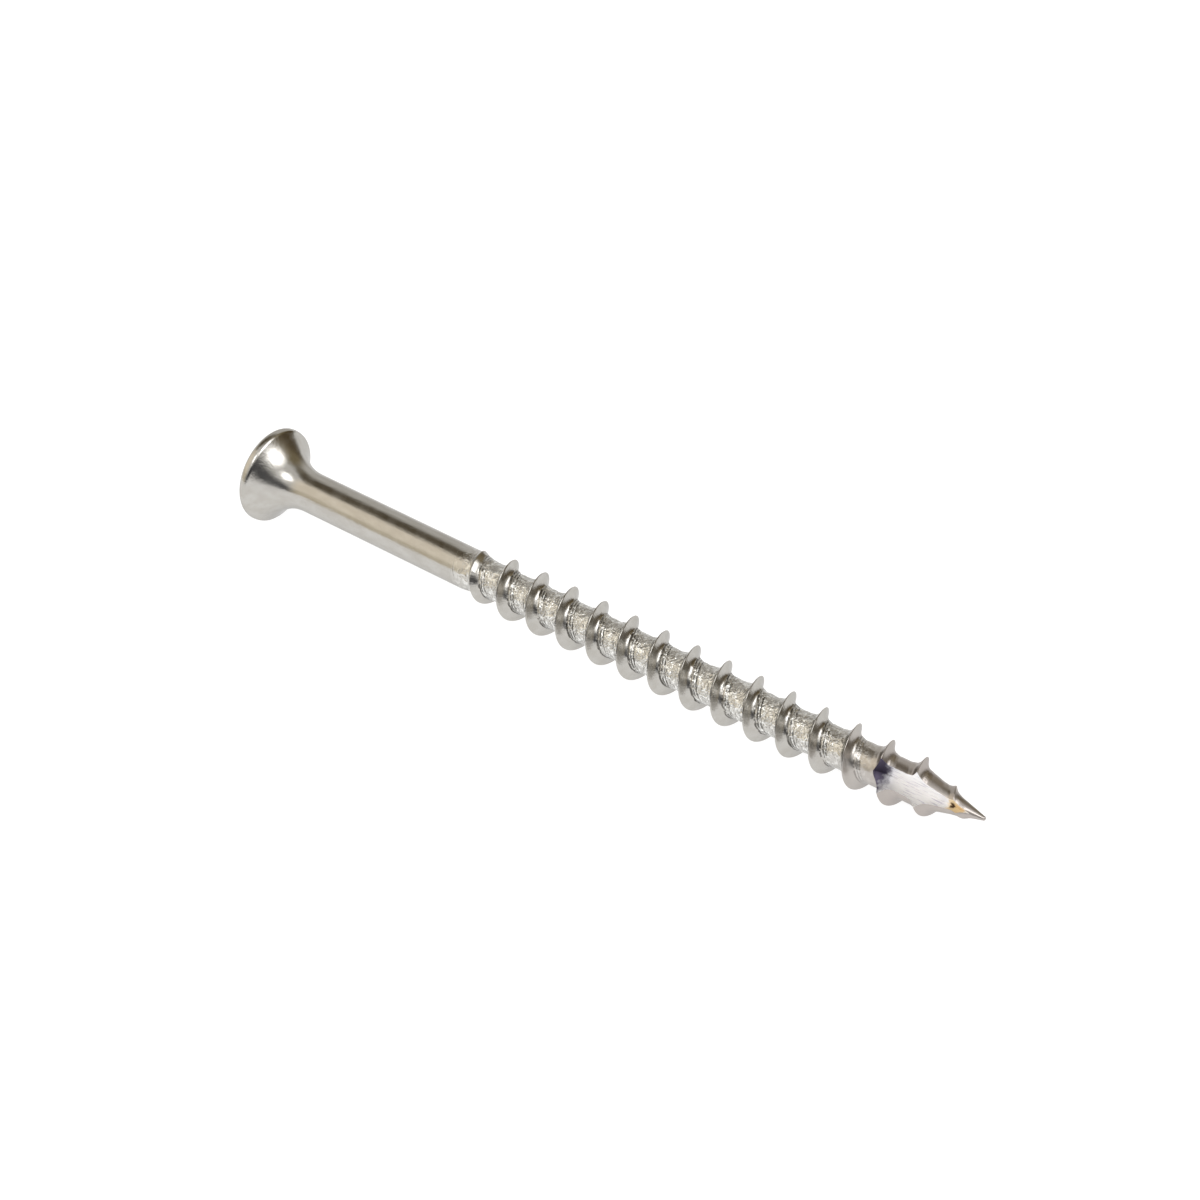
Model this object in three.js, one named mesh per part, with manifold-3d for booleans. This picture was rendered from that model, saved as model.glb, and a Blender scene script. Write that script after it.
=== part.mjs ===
// A stainless wood screw: countersunk head with a flared underside, plain shank, coarse
// thread and a self-drilling point with a milled groove.
//
// It is one cold-headed and thread-rolled piece of wire, so it is one mesh. The screw lies
// along X, with its point towards +X, and the origin is the middle of its bounding box.
// Millimetres, +Z up.

import * as THREE from 'three';
import { mergeVertices } from 'three/addons/utils/BufferGeometryUtils.js';
import Module from 'manifold-3d';

// ---- Driving dimensions. Every x is measured from the flat top of the head. ----

const LENGTH = 76.2; // 3 in, from the top of the head to the tip

const HEAD_RADIUS = 4.45;
const TOP_RADIUS = 4.15; // the flat top, inside the rounded rim
const RIM_X = 0.5; // where the rim is widest
const FLARE_START_X = 1.0;
const FLARE_START_RADIUS = 4.33;
const FLARE_END_X = 5.4;
const FLARE_POWER = 2.43; // how quickly the flare falls to the shank

const SHANK_RADIUS = 1.855;
const SHANK_END_X = 23.6;
const ROOT_RADIUS = 1.58;
const ROOT_START_X = 25.9;

const PITCH = 3.25;
const CREST_RADIUS = 2.64;
const THREAD_START_X = 23.0; // where the thread starts to rise out of the shank
const THREAD_FULL_X = 30.7; // where it reaches its full height
const THREAD_RISE_POWER = 2.2;
const CREST_TAPER_X = 70.0;
const CREST_TAPER_RADIUS = 2.5;
const THREAD_END_X = 75.6;
const THREAD_END_RADIUS = 0.28;
const FIN_BASE_WIDTH = 0.75;
const FIN_CREST_WIDTH = 0.15;
const FIN_ROOT_DEPTH = 0.22; // how far the fin is buried in the core
const CREST_REFERENCE_X = 30.6; // here the crest stands at CREST_REFERENCE_ANGLE
const CREST_REFERENCE_ANGLE = 45.5; // degrees from +Y towards +Z

const CONE_START_X = 70.5;
const TIP_RADIUS = 0.19;
const TIP_LENGTH = 0.16;

const GROOVE_FACING = 147.1; // degrees from +Y towards +Z: the way that the groove opens
const GROOVE_OPENING = 90; // degrees between its two walls
const GROOVE_BOTTOM_ANGLE = 154.7; // where its bottom line lies, from +Y towards +Z
const GROOVE_BOTTOM_RADIUS = 0.46; // from the screw's axis to that line
const GROOVE_BOTTOM_X = 67.5; // from here to the tip the bottom line is straight
const GROOVE_RUNOUT = 2.1; // length of the curved run-out behind it
const GROOVE_REACH = 5.5; // length of each wall of the cutting wedge

const RECESS_WIDTH = 2.8; // square recess, across the flats at its mouth
const RECESS_FLOOR_WIDTH = 2.6;
const RECESS_DEPTH = 2.6;
const RECESS_CHAMFER = 0.2;

// ---- Fineness of the faceting ----

const SIDES = 32;
const FLARE_STEPS = 9;
const THREAD_STEPS_PER_TURN = 24;
const GROOVE_RUNOUT_STEPS = 5;

const wasm = await Module();
wasm.setup();

const radians = THREE.MathUtils.degToRad;
const lerp = THREE.MathUtils.lerp;
const clamp01 = (t) => THREE.MathUtils.clamp(t, 0, 1);

/** A closed three.js geometry as a solid that can be joined and cut. */
function toSolid(geometry) {
  const bare = geometry.clone();
  bare.deleteAttribute('normal');
  bare.deleteAttribute('uv');
  const merged = mergeVertices(bare, 1e-5);
  const index = merged.index.array;
  const triangles = [];
  for (let i = 0; i < index.length; i += 3) {
    const [a, b, c] = [index[i], index[i + 1], index[i + 2]];
    if (a !== b && b !== c && c !== a) triangles.push(a, b, c);
  }
  const mesh = new wasm.Mesh({
    numProp: 3,
    vertProperties: new Float32Array(merged.attributes.position.array),
    triVerts: new Uint32Array(triangles),
  });
  mesh.merge();
  return new wasm.Manifold(mesh);
}

/** A finished solid as a three.js geometry. */
function toGeometry(solid) {
  const mesh = solid.getMesh();
  const geometry = new THREE.BufferGeometry();
  geometry.setAttribute('position', new THREE.BufferAttribute(mesh.vertProperties, 3));
  geometry.setIndex(new THREE.BufferAttribute(mesh.triVerts, 1));
  geometry.computeVertexNormals();
  return geometry;
}

/** Moves every vertex of a geometry to where place(x, y, z) says. */
function warp(geometry, place) {
  const position = geometry.attributes.position;
  for (let i = 0; i < position.count; i += 1) {
    const to = place(position.getX(i), position.getY(i), position.getZ(i));
    position.setXYZ(i, to.x, to.y, to.z);
  }
  return geometry;
}

/** The point at a distance from the screw's axis, at an angle from +Y towards +Z. */
function aroundAxis(x, radius, angle) {
  return new THREE.Vector3(x, radius * Math.cos(angle), radius * Math.sin(angle));
}

// ---- Core: head, shank, thread root and point, turned about the axis ----

/** Radius of the core behind the head, where the thread is rolled. */
function coreRadius(x) {
  if (x < ROOT_START_X) {
    return lerp(SHANK_RADIUS, ROOT_RADIUS, clamp01((x - SHANK_END_X) / (ROOT_START_X - SHANK_END_X)));
  }
  const coneEnd = LENGTH - TIP_LENGTH;
  return lerp(ROOT_RADIUS, TIP_RADIUS, clamp01((x - CONE_START_X) / (coneEnd - CONE_START_X)));
}

/** The underside of the head: steep at the rim, and running smoothly into the shank. */
function flareRadius(x) {
  const left = (FLARE_END_X - x) / (FLARE_END_X - FLARE_START_X);
  return SHANK_RADIUS + (FLARE_START_RADIUS - SHANK_RADIUS) * left ** FLARE_POWER;
}

function makeCore() {
  const profile = [
    new THREE.Vector2(0, 0),
    new THREE.Vector2(TOP_RADIUS, 0),
    new THREE.Vector2(lerp(TOP_RADIUS, HEAD_RADIUS, 0.75), RIM_X / 3),
    new THREE.Vector2(HEAD_RADIUS, RIM_X),
    new THREE.Vector2(lerp(FLARE_START_RADIUS, HEAD_RADIUS, 0.7), lerp(FLARE_START_X, RIM_X, 0.3)),
  ];
  for (let i = 0; i <= FLARE_STEPS; i += 1) {
    // The steps grow towards the shank, because the flare bends most at the rim.
    const x = lerp(FLARE_START_X, FLARE_END_X, (i / FLARE_STEPS) ** 1.3);
    profile.push(new THREE.Vector2(flareRadius(x), x));
  }
  for (const x of [SHANK_END_X, ROOT_START_X, CONE_START_X, LENGTH - TIP_LENGTH]) {
    profile.push(new THREE.Vector2(coreRadius(x), x));
  }
  profile.push(new THREE.Vector2(TIP_RADIUS * 0.6, LENGTH - TIP_LENGTH / 4));
  profile.push(new THREE.Vector2(0, LENGTH));
  // The lathe turns about +Y, and this turn lays the axis along +X.
  return toSolid(new THREE.LatheGeometry(profile, SIDES).rotateZ(-Math.PI / 2));
}

// ---- Thread: a straight bar of the fin's cross-section, wound onto the core ----

/** Radius of the thread's crest: it rises out of the shank and falls away at the point. */
function crestRadius(x) {
  if (x < THREAD_FULL_X) {
    const left = 1 - clamp01((x - THREAD_START_X) / (THREAD_FULL_X - THREAD_START_X));
    const hidden = SHANK_RADIUS - FIN_ROOT_DEPTH / 2;
    return lerp(CREST_RADIUS, hidden, left ** THREAD_RISE_POWER);
  }
  if (x < CREST_TAPER_X) {
    const along = (x - THREAD_FULL_X) / (CREST_TAPER_X - THREAD_FULL_X);
    return lerp(CREST_RADIUS, CREST_TAPER_RADIUS, along ** 6);
  }
  const along = (x - CREST_TAPER_X) / (THREAD_END_X - CREST_TAPER_X);
  return lerp(CREST_TAPER_RADIUS, THREAD_END_RADIUS, clamp01(along));
}

function makeThread() {
  // Across the section y runs from 0 at its buried base to 1 at the crest.
  const section = new THREE.Shape([
    new THREE.Vector2(-FIN_BASE_WIDTH / 2, 0),
    new THREE.Vector2(FIN_BASE_WIDTH / 2, 0),
    new THREE.Vector2(FIN_CREST_WIDTH / 2, 1),
    new THREE.Vector2(-FIN_CREST_WIDTH / 2, 1),
  ]);
  const turns = (THREAD_END_X - THREAD_START_X) / PITCH;
  const bar = new THREE.ExtrudeGeometry(section, {
    depth: turns,
    steps: Math.round(turns * THREAD_STEPS_PER_TURN),
    bevelEnabled: false,
  });
  const wound = warp(bar, (across, height, turn) => {
    const x = THREAD_START_X + turn * PITCH;
    const angle = radians(CREST_REFERENCE_ANGLE) + ((x - CREST_REFERENCE_X) / PITCH) * 2 * Math.PI;
    const base = coreRadius(x) - FIN_ROOT_DEPTH;
    const fullness = clamp01((crestRadius(x) - base) / (CREST_RADIUS - ROOT_RADIUS + FIN_ROOT_DEPTH));
    const radius = Math.max(lerp(base, crestRadius(x), height), 0.02);
    return aroundAxis(x + across * Math.max(fullness, 0.2), radius, angle);
  });
  return toSolid(wound);
}

// ---- Groove: a wedge that is cut from the point, with a curved run-out ----

/** How far the groove's bottom line has risen where the cutter leaves the screw. */
function grooveLift(x) {
  const before = Math.max(GROOVE_BOTTOM_X - x, 0);
  const rise = CREST_RADIUS - GROOVE_BOTTOM_RADIUS;
  const cutterRadius = (GROOVE_RUNOUT ** 2 + rise ** 2) / (2 * rise);
  return cutterRadius - Math.sqrt(Math.max(cutterRadius ** 2 - before ** 2, 0));
}

function makeGroove() {
  // The wedge's edge lies at the origin, and it opens towards +X of its own plane.
  const half = radians(GROOVE_OPENING / 2);
  const wall = (angle) => new THREE.Vector2(Math.cos(angle), Math.sin(angle)).multiplyScalar(GROOVE_REACH);
  const wedge = new THREE.Shape([new THREE.Vector2(0, 0), wall(-half), wall(half)]);
  const facing = radians(GROOVE_FACING);
  const cut = (from, to, steps) => {
    const bar = new THREE.ExtrudeGeometry(wedge, { depth: to - from, steps, bevelEnabled: false });
    return toSolid(warp(bar, (out, side, along) => {
      const bottom = aroundAxis(from + along, GROOVE_BOTTOM_RADIUS, radians(GROOVE_BOTTOM_ANGLE));
      const outwards = aroundAxis(0, out + grooveLift(bottom.x), facing);
      const sideways = aroundAxis(0, side, facing + Math.PI / 2);
      return bottom.add(outwards).add(sideways);
    }));
  };
  const runout = cut(GROOVE_BOTTOM_X - GROOVE_RUNOUT, GROOVE_BOTTOM_X, GROOVE_RUNOUT_STEPS);
  return runout.add(cut(GROOVE_BOTTOM_X, LENGTH + 1, 1));
}

// ---- Recess: a square socket for the driver, slightly narrower at its floor ----

function makeRecess() {
  const socket = (mouth, floor, depth) => {
    const square = new THREE.Shape([
      new THREE.Vector2(-0.5, -0.5),
      new THREE.Vector2(0.5, -0.5),
      new THREE.Vector2(0.5, 0.5),
      new THREE.Vector2(-0.5, 0.5),
    ]);
    const above = 1; // the cutter starts this far above the head
    const bar = new THREE.ExtrudeGeometry(square, { depth: 1, steps: 1, bevelEnabled: false });
    const slope = (mouth - floor) / depth;
    return toSolid(warp(bar, (y, z, deep) => {
      const x = lerp(-above, depth, deep);
      const width = mouth - slope * x;
      return new THREE.Vector3(x, y * width, z * width);
    }));
  };
  const chamfer = socket(RECESS_WIDTH + 2 * RECESS_CHAMFER, RECESS_WIDTH, RECESS_CHAMFER);
  return socket(RECESS_WIDTH, RECESS_FLOOR_WIDTH, RECESS_DEPTH).add(chamfer);
}

// ---- The screw ----

const steel = new THREE.MeshStandardMaterial({ color: '#b3aca0', roughness: 0.35, metalness: 1 });

const solid = makeCore().add(makeThread()).subtract(makeGroove()).subtract(makeRecess());
const screw = new THREE.Mesh(toGeometry(solid).translate(-LENGTH / 2, 0, 0), steel);
screw.name = 'wood_screw';

const group = new THREE.Group();
group.add(screw);

export default group;
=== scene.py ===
"""A stainless wood screw: flared countersunk head, plain shank, coarse rolled thread and a
self-drilling point with a cut groove. It is one piece of metal, so it is one mesh, made in
the order in which a real one is: the thread rolled on the wire, the point, the head, the cuts."""

import math

import bmesh
import bpy
from mathutils import Matrix, Vector, noise


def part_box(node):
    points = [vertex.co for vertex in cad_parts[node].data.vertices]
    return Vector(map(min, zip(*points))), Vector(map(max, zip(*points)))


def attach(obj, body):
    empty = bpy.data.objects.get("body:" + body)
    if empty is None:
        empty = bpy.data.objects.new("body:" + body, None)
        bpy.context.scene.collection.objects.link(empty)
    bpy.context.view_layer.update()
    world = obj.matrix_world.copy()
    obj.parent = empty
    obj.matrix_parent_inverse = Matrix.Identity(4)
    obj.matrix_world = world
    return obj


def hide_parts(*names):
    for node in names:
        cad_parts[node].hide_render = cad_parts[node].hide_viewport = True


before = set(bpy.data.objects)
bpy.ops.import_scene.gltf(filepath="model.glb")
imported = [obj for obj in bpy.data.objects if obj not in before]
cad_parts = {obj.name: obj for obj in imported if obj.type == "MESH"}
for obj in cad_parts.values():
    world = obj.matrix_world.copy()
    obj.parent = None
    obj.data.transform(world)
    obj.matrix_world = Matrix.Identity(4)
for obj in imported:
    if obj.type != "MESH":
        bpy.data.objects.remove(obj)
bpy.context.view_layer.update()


# ---- View -------------------------------------------------------------------------------
# The screw lies on its side with its point towards the viewer, seen with a long lens from
# above and from the right. The lens looks at a spot just beside the middle of the screw.

MM = 0.001
VIEW_AZIMUTH = math.radians(37.69)
VIEW_ELEVATION = math.radians(38.3)
VIEW_DISTANCE = 258 * MM
VIEW_TARGET = Vector((-3.02, 3.55, -0.07)) * MM

camera = bpy.data.objects.new("camera", bpy.data.cameras.new("camera"))
camera.data.lens = 89.9
camera.data.sensor_width = 36
camera.data.clip_start = 10 * MM
camera.data.clip_end = 20
view_back = Vector((
    math.sin(VIEW_AZIMUTH) * math.cos(VIEW_ELEVATION),
    -math.cos(VIEW_AZIMUTH) * math.cos(VIEW_ELEVATION),
    math.sin(VIEW_ELEVATION),
))
camera.location = VIEW_TARGET + view_back * VIEW_DISTANCE
camera.rotation_euler = view_back.to_track_quat("Z", "Y").to_euler()
bpy.context.scene.collection.objects.link(camera)
bpy.context.scene.camera = camera
bpy.context.scene.view_settings.view_transform = "Standard"


# ---- Thread -----------------------------------------------------------------------------
# A rolled thread: flat dies press the root into the wire, and the metal that they push out
# stands up as a thin fin with a low shoulder of displaced metal on each side of it. The
# fin grows out of the shank over its first turns and dies away on the tapered point.

head_low, head_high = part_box("wood_screw")
LENGTH = (head_high.x - head_low.x) / MM
HEAD_CLEARANCE = 0.01
HEAD_RADIUS = head_high.z / MM - HEAD_CLEARANCE

SHANK_RADIUS = 1.855
SHANK_END = 23.6
ROOT_RADIUS = 1.584
ROOT_START = 25.9
PITCH = 3.247
CREST_RADIUS = 2.635
THREAD_START = 23.0
THREAD_FULL = 30.7
CREST_TAPER = 70.0
CREST_TAPER_RADIUS = 2.493
THREAD_END = 75.63
THREAD_END_RADIUS = 0.285
CONE_START = 70.5
TIP_RADIUS = 0.19
TIP_LENGTH = 0.16
CREST_REFERENCE = 30.61
CREST_REFERENCE_ANGLE = math.radians(45.45)

THREAD_SUNK = 0.12
THREAD_RISE_POWER = 2.2
CREST_TAPER_POWER = 6

FIN_CREST_HALF = 0.03
FIN_BASE_HALF = 0.75
FIN_CORNER = 0.05
FIN_HOLLOW = 2.2
SHOULDER_HEIGHT = 0.1
SHOULDER_HALF = 0.9
SHOULDER_FADE = 0.47
SCORES = ((0.8, 0.025), (0.95, 0.03), (1.1, 0.02))
SCORE_HALF = 0.08
SCUFF_DEPTH = 0.05
SCUFF_SIZE = 0.4
SCUFF_START = ROOT_START - 3
SMOOTH_FROM = 69
SMOOTHING = 10

TURN_STEPS = 96
ACROSS_STEPS = 22
ACROSS_CROWDING = 1.5
SEAM_REACH = 0.004
END_REACH = 0.0004
ROLLED_FROM = 22.5
ROLLED_TO = LENGTH - TIP_LENGTH


def share_between(low, high, value):
    return min(max((value - low) / (high - low), 0), 1)


def ease(low, high, value):
    share = share_between(low, high, value)
    return share * share * (3 - 2 * share)


def blend(low, high, share):
    return low + (high - low) * share


def core_radius(x):
    """Radius under the fin: the shank, then the root, then the cone of the point."""
    if x < ROOT_START:
        return blend(SHANK_RADIUS, ROOT_RADIUS, share_between(SHANK_END, ROOT_START, x))
    return blend(ROOT_RADIUS, TIP_RADIUS, share_between(CONE_START, ROLLED_TO, x))


def crest_radius(x):
    if x < THREAD_FULL:
        left = 1 - share_between(THREAD_START, THREAD_FULL, x)
        return blend(CREST_RADIUS, SHANK_RADIUS - THREAD_SUNK, left ** THREAD_RISE_POWER)
    if x < CREST_TAPER:
        along = (x - THREAD_FULL) / (CREST_TAPER - THREAD_FULL)
        return blend(CREST_RADIUS, CREST_TAPER_RADIUS, along ** CREST_TAPER_POWER)
    return blend(CREST_TAPER_RADIUS, THREAD_END_RADIUS, (x - CREST_TAPER) / (THREAD_END - CREST_TAPER))


def fin_share(across):
    """1 on the crest and 0 beside the fin, with hollow flanks and a softened crest."""
    slope = (FIN_BASE_HALF - abs(across)) / (FIN_BASE_HALF - FIN_CREST_HALF)
    share = (math.hypot(slope, FIN_CORNER) - math.hypot(slope - 1, FIN_CORNER) + 1) / 2
    return share ** FIN_HOLLOW


def rolled_radius(x, across):
    core = core_radius(x)
    height = max(crest_radius(x) - core, 0)
    share = fin_share(across)
    grown = min(height / (CREST_RADIUS - ROOT_RADIUS), 1)
    shoulder = 1 - ease(SHOULDER_HALF - SHOULDER_FADE / 2, SHOULDER_HALF + SHOULDER_FADE / 2, abs(across))
    shoulder = SHOULDER_HEIGHT * shoulder
    for middle, depth in SCORES:
        shoulder -= depth * (1 - ease(0, SCORE_HALF, abs(across - middle)))
    return core + height * share + grown * shoulder * (1 - share)


def turn_across(x, angle):
    """Distance along the screw from the nearest crest."""
    along = (x - CREST_REFERENCE) / PITCH - (angle - CREST_REFERENCE_ANGLE) / (2 * math.pi)
    return (along - round(along)) * PITCH


body = bmesh.new()
half_turn = [(step / ACROSS_STEPS) ** ACROSS_CROWDING * PITCH / 2 for step in range(1, ACROSS_STEPS + 1)]
first_crest = CREST_REFERENCE - PITCH * math.ceil((CREST_REFERENCE - ROLLED_FROM) / PITCH + 1)
turns = math.ceil((ROLLED_TO - first_crest) / PITCH) + 1
line = [
    body.verts.new((
        first_crest + across,
        ROOT_RADIUS * math.cos(CREST_REFERENCE_ANGLE),
        ROOT_RADIUS * math.sin(CREST_REFERENCE_ANGLE),
    ))
    for across in [-step for step in reversed(half_turn)] + [0] + half_turn
]
edges = [body.edges.new(pair) for pair in zip(line, line[1:])]
bmesh.ops.spin(
    body, geom=line + edges, cent=(0, 0, 0), axis=(1, 0, 0), dvec=(PITCH / TURN_STEPS, 0, 0),
    angle=2 * math.pi, steps=TURN_STEPS,
)
one_turn = body.verts[:] + body.edges[:] + body.faces[:]
for turn in range(1, turns):
    copy = bmesh.ops.duplicate(body, geom=one_turn)["geom"]
    verts = [g for g in copy if isinstance(g, bmesh.types.BMVert)]
    bmesh.ops.translate(body, vec=(turn * PITCH, 0, 0), verts=verts)
bmesh.ops.remove_doubles(body, verts=body.verts, dist=SEAM_REACH)

# Both ends are squared off on a plane across the wire, where the wire is a plain circle.
for vert in body.verts:
    angle = math.atan2(vert.co.z, vert.co.y)
    x = min(max(vert.co.x, ROLLED_FROM), ROLLED_TO)
    across = turn_across(x, angle)
    radius = rolled_radius(x, across)
    rough = ease(SCUFF_START, ROOT_START, x) * (1 - ease(SMOOTH_FROM - SMOOTHING, SMOOTH_FROM, x))
    rough *= 1 - min(fin_share(across) * 4, 1)
    spot = Vector((x, radius * math.cos(angle), radius * math.sin(angle))) / SCUFF_SIZE
    radius += SCUFF_DEPTH * rough * noise.noise(spot)
    vert.co = (x, radius * math.cos(angle), radius * math.sin(angle))
bmesh.ops.remove_doubles(body, verts=body.verts, dist=END_REACH)


# ---- Point and head ---------------------------------------------------------------------
# The tip is left slightly blunt. At the other end the wire is struck into a head: a
# trumpet-shaped flare, a rounded rim and a flat top.

TOP_RADIUS = 3.95
RIM_WIDEST = 0.45
RIM_TURN = 0.68
FLARE_START = 0.88
FLARE_START_RADIUS = 4.36
FLARE_END = 5.4
FLARE_POWER = 2.43
TIP_STEPS = 5
RIM_STEPS = 8
FLARE_STEPS = 36
SHANK_STEPS = 24


def draw_out(loop, x, radius):
    """Extends the tube from one of its open ends to a circle at x."""
    before = loop[0].verts[0].co.copy()
    grown = bmesh.ops.extrude_edge_only(body, edges=loop)["geom"]
    verts = [g for g in grown if isinstance(g, bmesh.types.BMVert)]
    share = radius / math.hypot(before.y, before.z)
    bmesh.ops.scale(body, vec=(1, share, share), verts=verts)
    bmesh.ops.translate(body, vec=(x - before.x, 0, 0), verts=verts)
    return [g for g in grown if isinstance(g, bmesh.types.BMEdge) and g.is_boundary]


open_edges = [edge for edge in body.edges if edge.is_boundary]
loop = [edge for edge in open_edges if edge.verts[0].co.x > LENGTH / 2]
for step in range(1, TIP_STEPS):
    turned = math.pi / 2 * step / TIP_STEPS
    loop = draw_out(loop, ROLLED_TO + TIP_LENGTH * math.sin(turned), TIP_RADIUS * math.cos(turned))
grown = bmesh.ops.extrude_edge_only(body, edges=loop)["geom"]
tip = [g for g in grown if isinstance(g, bmesh.types.BMVert)]
bmesh.ops.pointmerge(body, verts=tip, merge_co=(LENGTH, 0, 0))

loop = [edge for edge in open_edges if edge.is_valid and edge.verts[0].co.x < LENGTH / 2]
for step in range(1, SHANK_STEPS + 1):
    loop = draw_out(loop, blend(ROLLED_FROM, FLARE_END, step / SHANK_STEPS), SHANK_RADIUS)
for step in range(1, FLARE_STEPS + 1):
    left = step / FLARE_STEPS
    radius = blend(SHANK_RADIUS, FLARE_START_RADIUS, left ** FLARE_POWER)
    loop = draw_out(loop, blend(FLARE_END, FLARE_START, left), radius)
for step in range(1, RIM_STEPS + 1):
    along = step / RIM_STEPS
    start, middle, end = (1 - along) ** 2, 2 * along * (1 - along), along ** 2
    x = start * FLARE_START + middle * RIM_TURN + end * RIM_WIDEST
    loop = draw_out(loop, x, start * FLARE_START_RADIUS + (middle + end) * HEAD_RADIUS)
for step in range(1, RIM_STEPS + 1):
    turned = math.pi / 2 * step / RIM_STEPS
    radius = TOP_RADIUS + (HEAD_RADIUS - TOP_RADIUS) * math.cos(turned)
    loop = draw_out(loop, RIM_WIDEST * (1 - math.sin(turned)), radius)
bmesh.ops.edgeloop_fill(body, edges=loop)
bmesh.ops.recalc_face_normals(body, faces=body.faces)


# ---- Groove and recess --------------------------------------------------------------------
# A V-groove is cut in the side of the point, so that the screw drills its own hole; the
# round cutter leaves a short curved run-out behind it. The square recess for the driver is
# struck into the head, with a slightly rounded mouth.

GROOVE_FACING = math.radians(147.1)
GROOVE_BOTTOM_ANGLE = math.radians(154.7)
GROOVE_BOTTOM_RADIUS = 0.46
GROOVE_STRAIGHT = 68.1
GROOVE_RUNOUT = 1.65
GROOVE_REACH = 5.5
RUNOUT_STEPS = 14
RECESS_DEPTH = 2.6
RECESS_WIDTH = 2.8
RECESS_FLOOR_WIDTH = 2.6
RECESS_CHAMFER = 0.2
RECESS_CORNER = 0.25
RECESS_CORNER_STEPS = 4
TOOL_CLEARANCE = 1

groove_rise = CREST_RADIUS - GROOVE_BOTTOM_RADIUS
cutter_radius = (GROOVE_RUNOUT ** 2 + groove_rise ** 2) / (2 * groove_rise)
open_way = Vector((0, math.cos(GROOVE_FACING), math.sin(GROOVE_FACING)))
side_way = Vector((0, -open_way.z, open_way.y))
bottom_way = Vector((0, math.cos(GROOVE_BOTTOM_ANGLE), math.sin(GROOVE_BOTTOM_ANGLE)))
groove_bottom = GROOVE_BOTTOM_RADIUS * bottom_way


def bottom_at(x):
    """The bottom of the V, which follows the round cutter up out of the metal."""
    before = max(GROOVE_STRAIGHT - x, 0)
    lift = cutter_radius - math.sqrt(max(cutter_radius ** 2 - before ** 2, 0))
    return groove_bottom + open_way * lift + Vector((x, 0, 0))


def push(mesh, face, move, widen=1):
    """Extrudes a face, and returns the new one."""
    grown = bmesh.ops.extrude_face_region(mesh, geom=[face, *face.edges, *face.verts])["geom"]
    verts = [g for g in grown if isinstance(g, bmesh.types.BMVert)]
    bmesh.ops.scale(mesh, vec=(1, widen, widen), verts=verts)
    bmesh.ops.translate(mesh, vec=move, verts=verts)
    return [g for g in grown if isinstance(g, bmesh.types.BMFace)][0]


groove = bmesh.new()
start = GROOVE_STRAIGHT - cutter_radius
stations = [
    GROOVE_STRAIGHT - cutter_radius * math.cos(math.pi / 2 * step / RUNOUT_STEPS)
    for step in range(RUNOUT_STEPS + 1)
]
stations.append(LENGTH + TOOL_CLEARANCE)
first = bottom_at(start)
corners = [first, first + (open_way - side_way) * GROOVE_REACH, first + (open_way + side_way) * GROOVE_REACH]
face = groove.faces.new([groove.verts.new(corner) for corner in corners])
for x_before, x in zip(stations, stations[1:]):
    face = push(groove, face, bottom_at(x) - bottom_at(x_before))

recess = bmesh.new()
mouth_width = RECESS_WIDTH + 2 * (RECESS_CHAMFER + TOOL_CLEARANCE)
bmesh.ops.create_grid(recess, x_segments=1, y_segments=1, size=mouth_width / 2)
bmesh.ops.rotate(recess, verts=recess.verts, cent=(0, 0, 0), matrix=Matrix.Rotation(math.pi / 2, 3, "Y"))
bmesh.ops.translate(recess, verts=recess.verts, vec=(-TOOL_CLEARANCE, 0, 0))
face = recess.faces[:][0]
face = push(recess, face, (TOOL_CLEARANCE + RECESS_CHAMFER, 0, 0), RECESS_WIDTH / mouth_width)
face = push(recess, face, (RECESS_DEPTH - RECESS_CHAMFER, 0, 0), RECESS_FLOOR_WIDTH / RECESS_WIDTH)
corner_edges = [edge for edge in recess.edges if abs(edge.verts[0].co.x - edge.verts[1].co.x) > 0.1]
bmesh.ops.bevel(
    recess, geom=corner_edges, offset=RECESS_CORNER, offset_type="OFFSET", affect="EDGES",
    segments=RECESS_CORNER_STEPS, profile=0.5, material=-1,
)
for tool in (groove, recess):
    bmesh.ops.recalc_face_normals(tool, faces=tool.faces)


# ---- Steel --------------------------------------------------------------------------------
# Bare stainless steel, one metal with four finishes: the head and shank are smooth from
# the drawing die, the rolled thread is rougher and pitted in its root, with painted shade in
# its cracks and score lines, the cut groove is bright with heat tints, and the recess is
# dull from its punch.

EDGE_TINT = (0.72, 0.72, 0.72)


class Wire:
    """A shader socket. An expression on it adds the Math nodes that work it out."""

    def __init__(self, sheet, socket):
        self.sheet, self.socket = sheet, socket

    def maths(self, operation, *values):
        return self.sheet.add("ShaderNodeMath", {"operation": operation}, dict(enumerate(values)))

    def __add__(self, other): return self.maths("ADD", self, other)
    def __radd__(self, other): return self.maths("ADD", other, self)
    def __sub__(self, other): return self.maths("SUBTRACT", self, other)
    def __rsub__(self, other): return self.maths("SUBTRACT", other, self)
    def __mul__(self, other): return self.maths("MULTIPLY", self, other)
    def __rmul__(self, other): return self.maths("MULTIPLY", other, self)
    def __truediv__(self, other): return self.maths("DIVIDE", self, other)
    def __rtruediv__(self, other): return self.maths("DIVIDE", other, self)
    def __pow__(self, other): return self.maths("POWER", self, other)
    def __abs__(self): return self.maths("ABSOLUTE", self)

    def rise(self, low, high):
        """0 below low, 1 above high, smooth between; low may be the larger of the two."""
        return self.sheet.add(
            "ShaderNodeMapRange", {"interpolation_type": "SMOOTHSTEP"},
            {"Value": self, "From Min": low, "From Max": high},
        )

    def near(self, centre, half, fade):
        """1 within half of centre, 0 further than half + fade."""
        return abs(self - centre).rise(half + fade, half)


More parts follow.
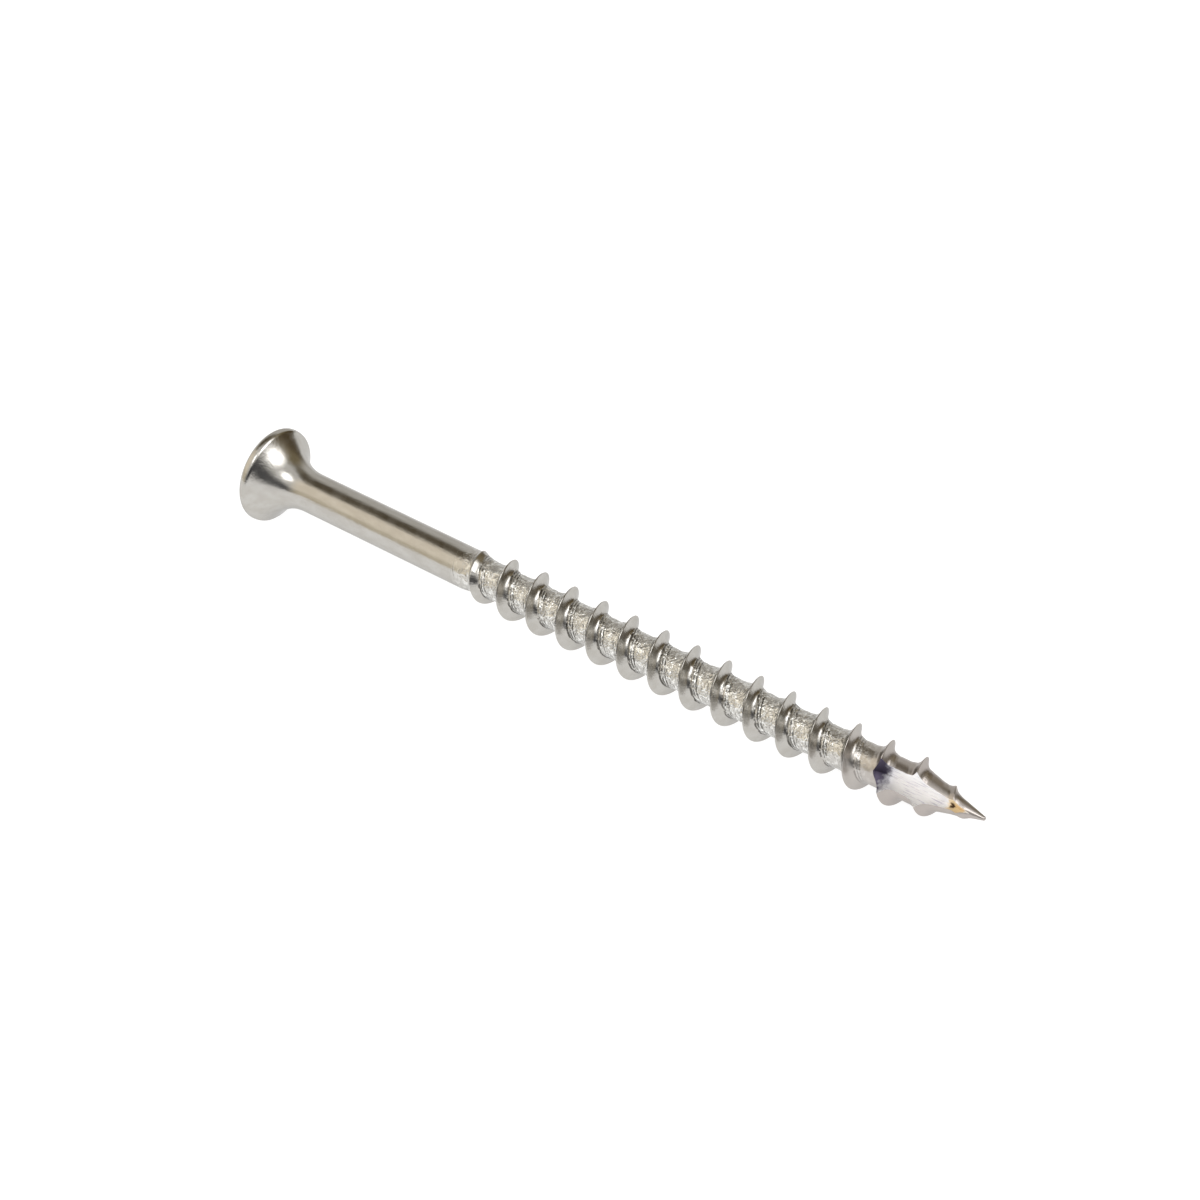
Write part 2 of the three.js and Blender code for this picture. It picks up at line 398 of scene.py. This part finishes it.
class Sheet:
    """The node tree of a material or of the surroundings."""

    def __init__(self, owner):
        owner.use_nodes = True
        self.tree = owner.node_tree
        self.tree.nodes.clear()

    def add(self, kind, settings=None, sockets=None, output=0):
        """A node with its settings and its sockets' values or links; gives one of its outputs."""
        node = self.tree.nodes.new(kind)
        for name, value in (settings or {}).items():
            setattr(node, name, value)
        for key, value in (sockets or {}).items():
            if isinstance(value, Wire):
                self.tree.links.new(value.socket, node.inputs[key])
            else:
                node.inputs[key].default_value = value
        return Wire(self, node.outputs[output]) if node.outputs else None

    def mix(self, factor, low, high):
        """A colour between two others."""
        sockets = {0: factor, 6: low, 7: high}
        for key in (6, 7):
            if not isinstance(sockets[key], Wire):
                sockets[key] = (*sockets[key], 1)
        return self.add("ShaderNodeMix", {"data_type": "RGBA"}, sockets, output=2)

    def parts(self, vector):
        return [self.add("ShaderNodeSeparateXYZ", None, {0: vector}, output=axis) for axis in range(3)]

    def place(self):
        """Where a point of the screw is: along it, its radius, its angle and its across, in mm."""
        point = self.add("ShaderNodeTexCoord", output=3)
        x, y, z = self.parts(point)
        along = x / MM + LENGTH / 2
        radius = (y * y + z * z) ** 0.5 / MM
        angle = z.maths("ARCTAN2", z, y)
        turn = (along - CREST_REFERENCE) / PITCH - (angle - CREST_REFERENCE_ANGLE) / (2 * math.pi)
        across = (turn - turn.maths("FLOOR", turn + 0.5)) * PITCH
        return point, along, radius, angle, across

    def speckle(self, point, size, detail=2.0, stretch=(1, 1, 1), rough=0.5):
        """Cloudy noise whose grains are about size mm; 0 to 1."""
        scaled = self.add(
            "ShaderNodeVectorMath", {"operation": "MULTIPLY"},
            {0: point, 1: tuple(1 / (MM * size * s) for s in stretch)},
        )
        return self.add(
            "ShaderNodeTexNoise", {"noise_dimensions": "3D"},
            {"Vector": scaled, "Scale": 1.0, "Detail": detail, "Roughness": rough},
        )

    def metal(self, colour, roughness, height, depth):
        """Bare metal with a relief of depth mm."""
        bump = self.add("ShaderNodeBump", None, {"Strength": 1.0, "Distance": depth * MM, "Height": height})
        surface = self.add("ShaderNodeBsdfPrincipled", None, {
            "Base Color": colour, "Metallic": 1.0, "Roughness": roughness, "Normal": bump,
            "Specular Tint": (*EDGE_TINT, 1),
        })
        self.add("ShaderNodeOutputMaterial", None, {"Surface": surface})


STEEL = (0.465, 0.448, 0.418)
DARK_STEEL = (0.10, 0.092, 0.08)
PALE_STEEL = (0.56, 0.55, 0.53)
BRIGHT_STEEL = (0.86, 0.86, 0.84)
WARM_STEEL = (0.43, 0.375, 0.355)
MOTTLE_SIZE = 0.9
FLAKE_SIZE = 0.4
GRAIN_SIZE = 0.2
DRAWN_SIZE = 0.16
STREAK_SIZE = 0.13
ALONG_WIRE = (14, 1, 1)
ALONG_FIN = (6, 6, 1)
FLANK_RADIUS = 1.9
FLANK_MIDDLE = 0.2
FLANK_HALF = 0.42
FLANK_FADE = 0.25
LINES_PER_MM = 4
LINES_MIDDLE = 0.875
LINES_HALF = 0.33
LINES_FADE = 0.05
SCUFFED_SHANK = 1.6
WARM_FROM = 60
ROLLED_RELIEF = 0.06

rolled_steel = bpy.data.materials.new("rolled stainless steel")
sheet = Sheet(rolled_steel)
point, along, radius, angle, across = sheet.place()
mottle = sheet.speckle(point, MOTTLE_SIZE, detail=3.0, stretch=(2, 1, 1), rough=0.6)
drawn = sheet.speckle(point, DRAWN_SIZE, stretch=ALONG_WIRE)
grain = sheet.speckle(point, GRAIN_SIZE, detail=3.0, rough=0.65)
flakes = sheet.speckle(point, FLAKE_SIZE, rough=0.6)
helix = sheet.add(
    "ShaderNodeCombineXYZ", None, {0: across * MM, 1: radius * MM, 2: angle * FLANK_RADIUS * MM},
)
streaks = sheet.speckle(helix, STREAK_SIZE, stretch=ALONG_FIN)

# The flanks of the fin are smooth, and the root is scuffed until the point begins.
threaded = along.rise(SHANK_END - SCUFFED_SHANK, ROOT_START)
worn = threaded * along.rise(SMOOTH_FROM, SMOOTH_FROM - SMOOTHING)
flank = (across - FLANK_MIDDLE).near(0, FLANK_HALF, FLANK_FADE)
root = worn * (1 - flank)
warm = along.rise(WARM_FROM, SMOOTH_FROM)
# Painted shade: thin cracks in the root are painted nearly black, standing in for the shade inside them.
crack_shade = abs(flakes - 0.5).rise(0.03, 0.0) * grain.rise(0.42, 0.6)
# Score lines on the tip side of the fin: sunk in the mesh and in the bump, and also painted nearly black as
# painted shade inside them.
score_lines_and_shade = abs(across.maths("FRACT", across * LINES_PER_MM) - 0.5).rise(0.3, 0.1)
score_lines_and_shade = worn * score_lines_and_shade * (across - LINES_MIDDLE).near(0, LINES_HALF, LINES_FADE)
score_lines_and_shade = score_lines_and_shade * mottle.rise(0.42, 0.56) * flakes.rise(0.34, 0.46)

colour = sheet.mix(mottle.rise(0.3, 0.7) * 0.5, STEEL, PALE_STEEL)
colour = sheet.mix(warm * (0.3 + mottle * 0.5), colour, WARM_STEEL)
colour = sheet.mix(root * (flakes.rise(0.45, 0.62) * 0.65 + 0.3), colour, BRIGHT_STEEL)
# Painted shade for the root's cracks.
colour = sheet.mix(root * crack_shade * 0.55, colour, DARK_STEEL)
# Painted shade: the score lines are painted nearly black.
colour = sheet.mix(score_lines_and_shade * 0.85, colour, DARK_STEEL)
roughness = 0.18 + mottle * 0.08 - root * 0.08 + root * grain * 0.16 + flank * 0.03 + warm * 0.1
height = (1 - threaded) * (drawn * 0.12 + mottle * 0.35) + threaded * flank * (mottle * 0.4 + streaks * 0.22)
height = height + root * (grain * 0.9 + flakes * 2.3) - score_lines_and_shade * 1.2
sheet.metal(colour, roughness, height, ROLLED_RELIEF)

CUT_STEEL = (0.98, 0.98, 1.0)
LILAC = (0.50, 0.48, 0.60)
PURPLE = (0.055, 0.04, 0.085)
STRAW = (0.86, 0.68, 0.40)
BROWN = (0.09, 0.05, 0.03)
MARK_SIZE = 0.1
CLOUD_SIZE = 0.6
CLOUD_WANDER = 1.6
PURPLE_FULL = 67.2
PURPLE_END = 68.0
BROWN_MIDDLE = 73.45
STRAW_MIDDLE = 73.9
TIP_PALE_FROM = 73.3
CUT_RELIEF = 0.012

# The heat tints lie across the groove's run-out and just behind the tip, with cloudy edges.
cut_steel = bpy.data.materials.new("cut stainless steel")
sheet = Sheet(cut_steel)
point, along, radius, angle, across = sheet.place()
marks = sheet.speckle(point, MARK_SIZE, stretch=ALONG_WIRE)
clouds = sheet.speckle(point, CLOUD_SIZE, detail=3.0)
wandering = along + (clouds - 0.5) * CLOUD_WANDER
tip_pale = wandering.rise(TIP_PALE_FROM, TIP_PALE_FROM + 0.3) * radius.rise(0.85, 1.15)
brown_spot = wandering.near(BROWN_MIDDLE, 0.12, 0.2) * radius.rise(0.8, 0.6)
colour = sheet.mix(marks.rise(0.55, 0.7) * 0.6, CUT_STEEL, LILAC)
colour = sheet.mix(wandering.rise(PURPLE_END, PURPLE_FULL) * 0.95, colour, PURPLE)
colour = sheet.mix(wandering.near(STRAW_MIDDLE, 0.6, 0.5) * 0.8, colour, STRAW)
colour = sheet.mix(tip_pale * 0.3, colour, PALE_STEEL)
colour = sheet.mix(brown_spot * 0.9, colour, BROWN)
sheet.metal(colour, 0.45 + marks * 0.1, marks, CUT_RELIEF)

PUNCH_MARK_SIZE = 0.15
PUNCH_MARK_STRETCH = (8, 1, 1)
PUNCHED_RELIEF = 0.015

punched_steel = bpy.data.materials.new("punched stainless steel")
sheet = Sheet(punched_steel)
point, along, radius, angle, across = sheet.place()
marks = sheet.speckle(point, PUNCH_MARK_SIZE, stretch=PUNCH_MARK_STRETCH)
colour = sheet.mix(marks.rise(0.3, 0.7) * 0.4, STEEL, DARK_STEEL)
sheet.metal(colour, 0.3 + marks * 0.15, marks, PUNCHED_RELIEF)


# ---- The finished screw -------------------------------------------------------------------
# The groove and the recess are cut out of the body, each leaving its own finish, and the
# screw takes the place of the plain solid in the frame.

SHARP_ANGLE = math.radians(38)


def finished_object(name, mesh, material):
    """An object in the frame, from a mesh in mm measured from the head's top."""
    bmesh.ops.translate(mesh, vec=(-LENGTH / 2, 0, 0), verts=mesh.verts)
    bmesh.ops.scale(mesh, vec=(MM, MM, MM), verts=mesh.verts)
    data = bpy.data.meshes.new(name)
    mesh.to_mesh(data)
    mesh.free()
    data.materials.append(material)
    made = bpy.data.objects.new(name, data)
    bpy.context.scene.collection.objects.link(made)
    return made


screw = finished_object("stainless_wood_screw", body, rolled_steel)
tools = [
    finished_object("groove_cutter", groove, cut_steel),
    finished_object("recess_punch", recess, punched_steel),
]
for tool in tools:
    cut = screw.modifiers.new(tool.name, "BOOLEAN")
    cut.operation = "DIFFERENCE"
    cut.object = tool
    cut.solver = "EXACT"
    cut.material_mode = "TRANSFER"
cut_mesh = bpy.data.meshes.new_from_object(screw.evaluated_get(bpy.context.evaluated_depsgraph_get()))
screw.modifiers.clear()
screw.data = cut_mesh
for tool in tools:
    bpy.data.objects.remove(tool)
for polygon in cut_mesh.polygons:
    polygon.use_smooth = True
cut_mesh.set_sharp_from_angle(angle=SHARP_ANGLE)

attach(screw, "root")
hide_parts("wood_screw")


# ---- Floor and light ----------------------------------------------------------------------
# A plain white floor, tilted a little so that the head's rim and the thread both rest on it.
# Pale walls, dark screens and two strong lamps stand round it, and give the steel its shading.

REST_HEAD = Vector((-LENGTH / 2 + RIM_WIDEST, 0, -HEAD_RADIUS)) * MM
REST_THREAD_AT = CREST_TAPER - 4
REST_THREAD = Vector((REST_THREAD_AT - LENGTH / 2, 0, -CREST_RADIUS)) * MM
FLOOR_SIZE = 6.0
FLOOR_GAP = 0.01 * MM
FLOOR_WHITE = (0.25, 0.25, 0.25, 1)
FLOOR_GLOW = 0.92

tilt = math.atan2(REST_THREAD.z - REST_HEAD.z, REST_THREAD.x - REST_HEAD.x)
slab = bmesh.new()
bmesh.ops.create_grid(slab, x_segments=1, y_segments=1, size=FLOOR_SIZE / 2)
bmesh.ops.rotate(slab, verts=slab.verts, cent=(0, 0, 0), matrix=Matrix.Rotation(-tilt, 3, "Y"))
floor_height = REST_HEAD.z - REST_HEAD.x * math.tan(tilt) - FLOOR_GAP
bmesh.ops.translate(slab, verts=slab.verts, vec=(0, 0, floor_height))
floor_mesh = bpy.data.meshes.new("floor")
slab.to_mesh(floor_mesh)
slab.free()
floor = bpy.data.objects.new("floor", floor_mesh)
bpy.context.scene.collection.objects.link(floor)
white_floor = bpy.data.materials.new("white floor")
sheet = Sheet(white_floor)
matt = sheet.add("ShaderNodeBsdfDiffuse", None, {"Color": FLOOR_WHITE})
glow = sheet.add("ShaderNodeEmission", None, {"Color": (1, 1, 1, 1), "Strength": FLOOR_GLOW})
both = sheet.add("ShaderNodeAddShader", None, {0: matt, 1: glow})
sheet.add("ShaderNodeOutputMaterial", None, {"Surface": both})
floor_mesh.materials.append(white_floor)

# The surroundings light the steel and the floor, while the camera sees plain white behind
# them: white light comes from below and slightly darker light from above, with areas on it.
# Each area has the compass direction and height of its middle, its half width and half height
# in degrees, how far its edge fades, and its light.
LOWER_LIGHT = (1.0, 1.0, 1.0)
UPPER_LIGHT = (0.80, 0.79, 0.76)
UPPER_FROM = -8
UPPER_FULL = 2
BEHIND_LIGHT = (1.0, 1.0, 1.0)
AREAS = [
    (-140, 27, 38, 38, 0.6, (1.15, 1.05, 0.88)),
    (-124, 4, 30, 13, 0.9, (0.78, 0.70, 0.54)),
    (120, 12, 40, 34, 0.5, (0.74, 0.72, 0.68)),
    (66, 32, 34, 34, 0.7, (0.26, 0.21, 0.12)),
    (-45, 9, 58, 21, 0.6, (0.03, 0.03, 0.035)),
    (50, 8, 48, 18, 0.7, (0.10, 0.07, 0.03)),
    (122, 62, 42, 20, 0.8, (0.24, 0.21, 0.16)),
    (166, 58, 36, 18, 0.8, (0.10, 0.075, 0.04)),
    (12, 45, 26, 11.5, 0.5, (4.5, 4.5, 4.5)),
    (-70, 57, 27, 11, 0.8, (4.5, 4.5, 4.5)),
]

surroundings = bpy.data.worlds.new("studio")
bpy.context.scene.world = surroundings
sheet = Sheet(surroundings)
x, y, z = sheet.parts(sheet.add("ShaderNodeTexCoord", output=0))
compass = y.maths("ARCTAN2", y, x) * (180 / math.pi)
above = z.maths("ARCSINE", z) * (180 / math.pi)
light = sheet.mix(above.rise(UPPER_FROM, UPPER_FULL), LOWER_LIGHT, UPPER_LIGHT)
for direction, lift, half_width, half_height, fade, colour in AREAS:
    sideways = compass.maths("WRAP", compass - direction, 180, -180) / half_width
    upwards = (above - lift) / half_height
    reach = (sideways * sideways + upwards * upwards) ** 0.5
    light = sheet.mix(reach.rise(1 + fade / 2, 1 - fade / 2), light, colour)
seen = sheet.add("ShaderNodeLightPath", output=0)
light = sheet.mix(seen, light, BEHIND_LIGHT)
background = sheet.add("ShaderNodeBackground", None, {"Color": light, "Strength": 1.0})
sheet.add("ShaderNodeOutputWorld", None, {"Surface": background})

bpy.context.view_layer.update()
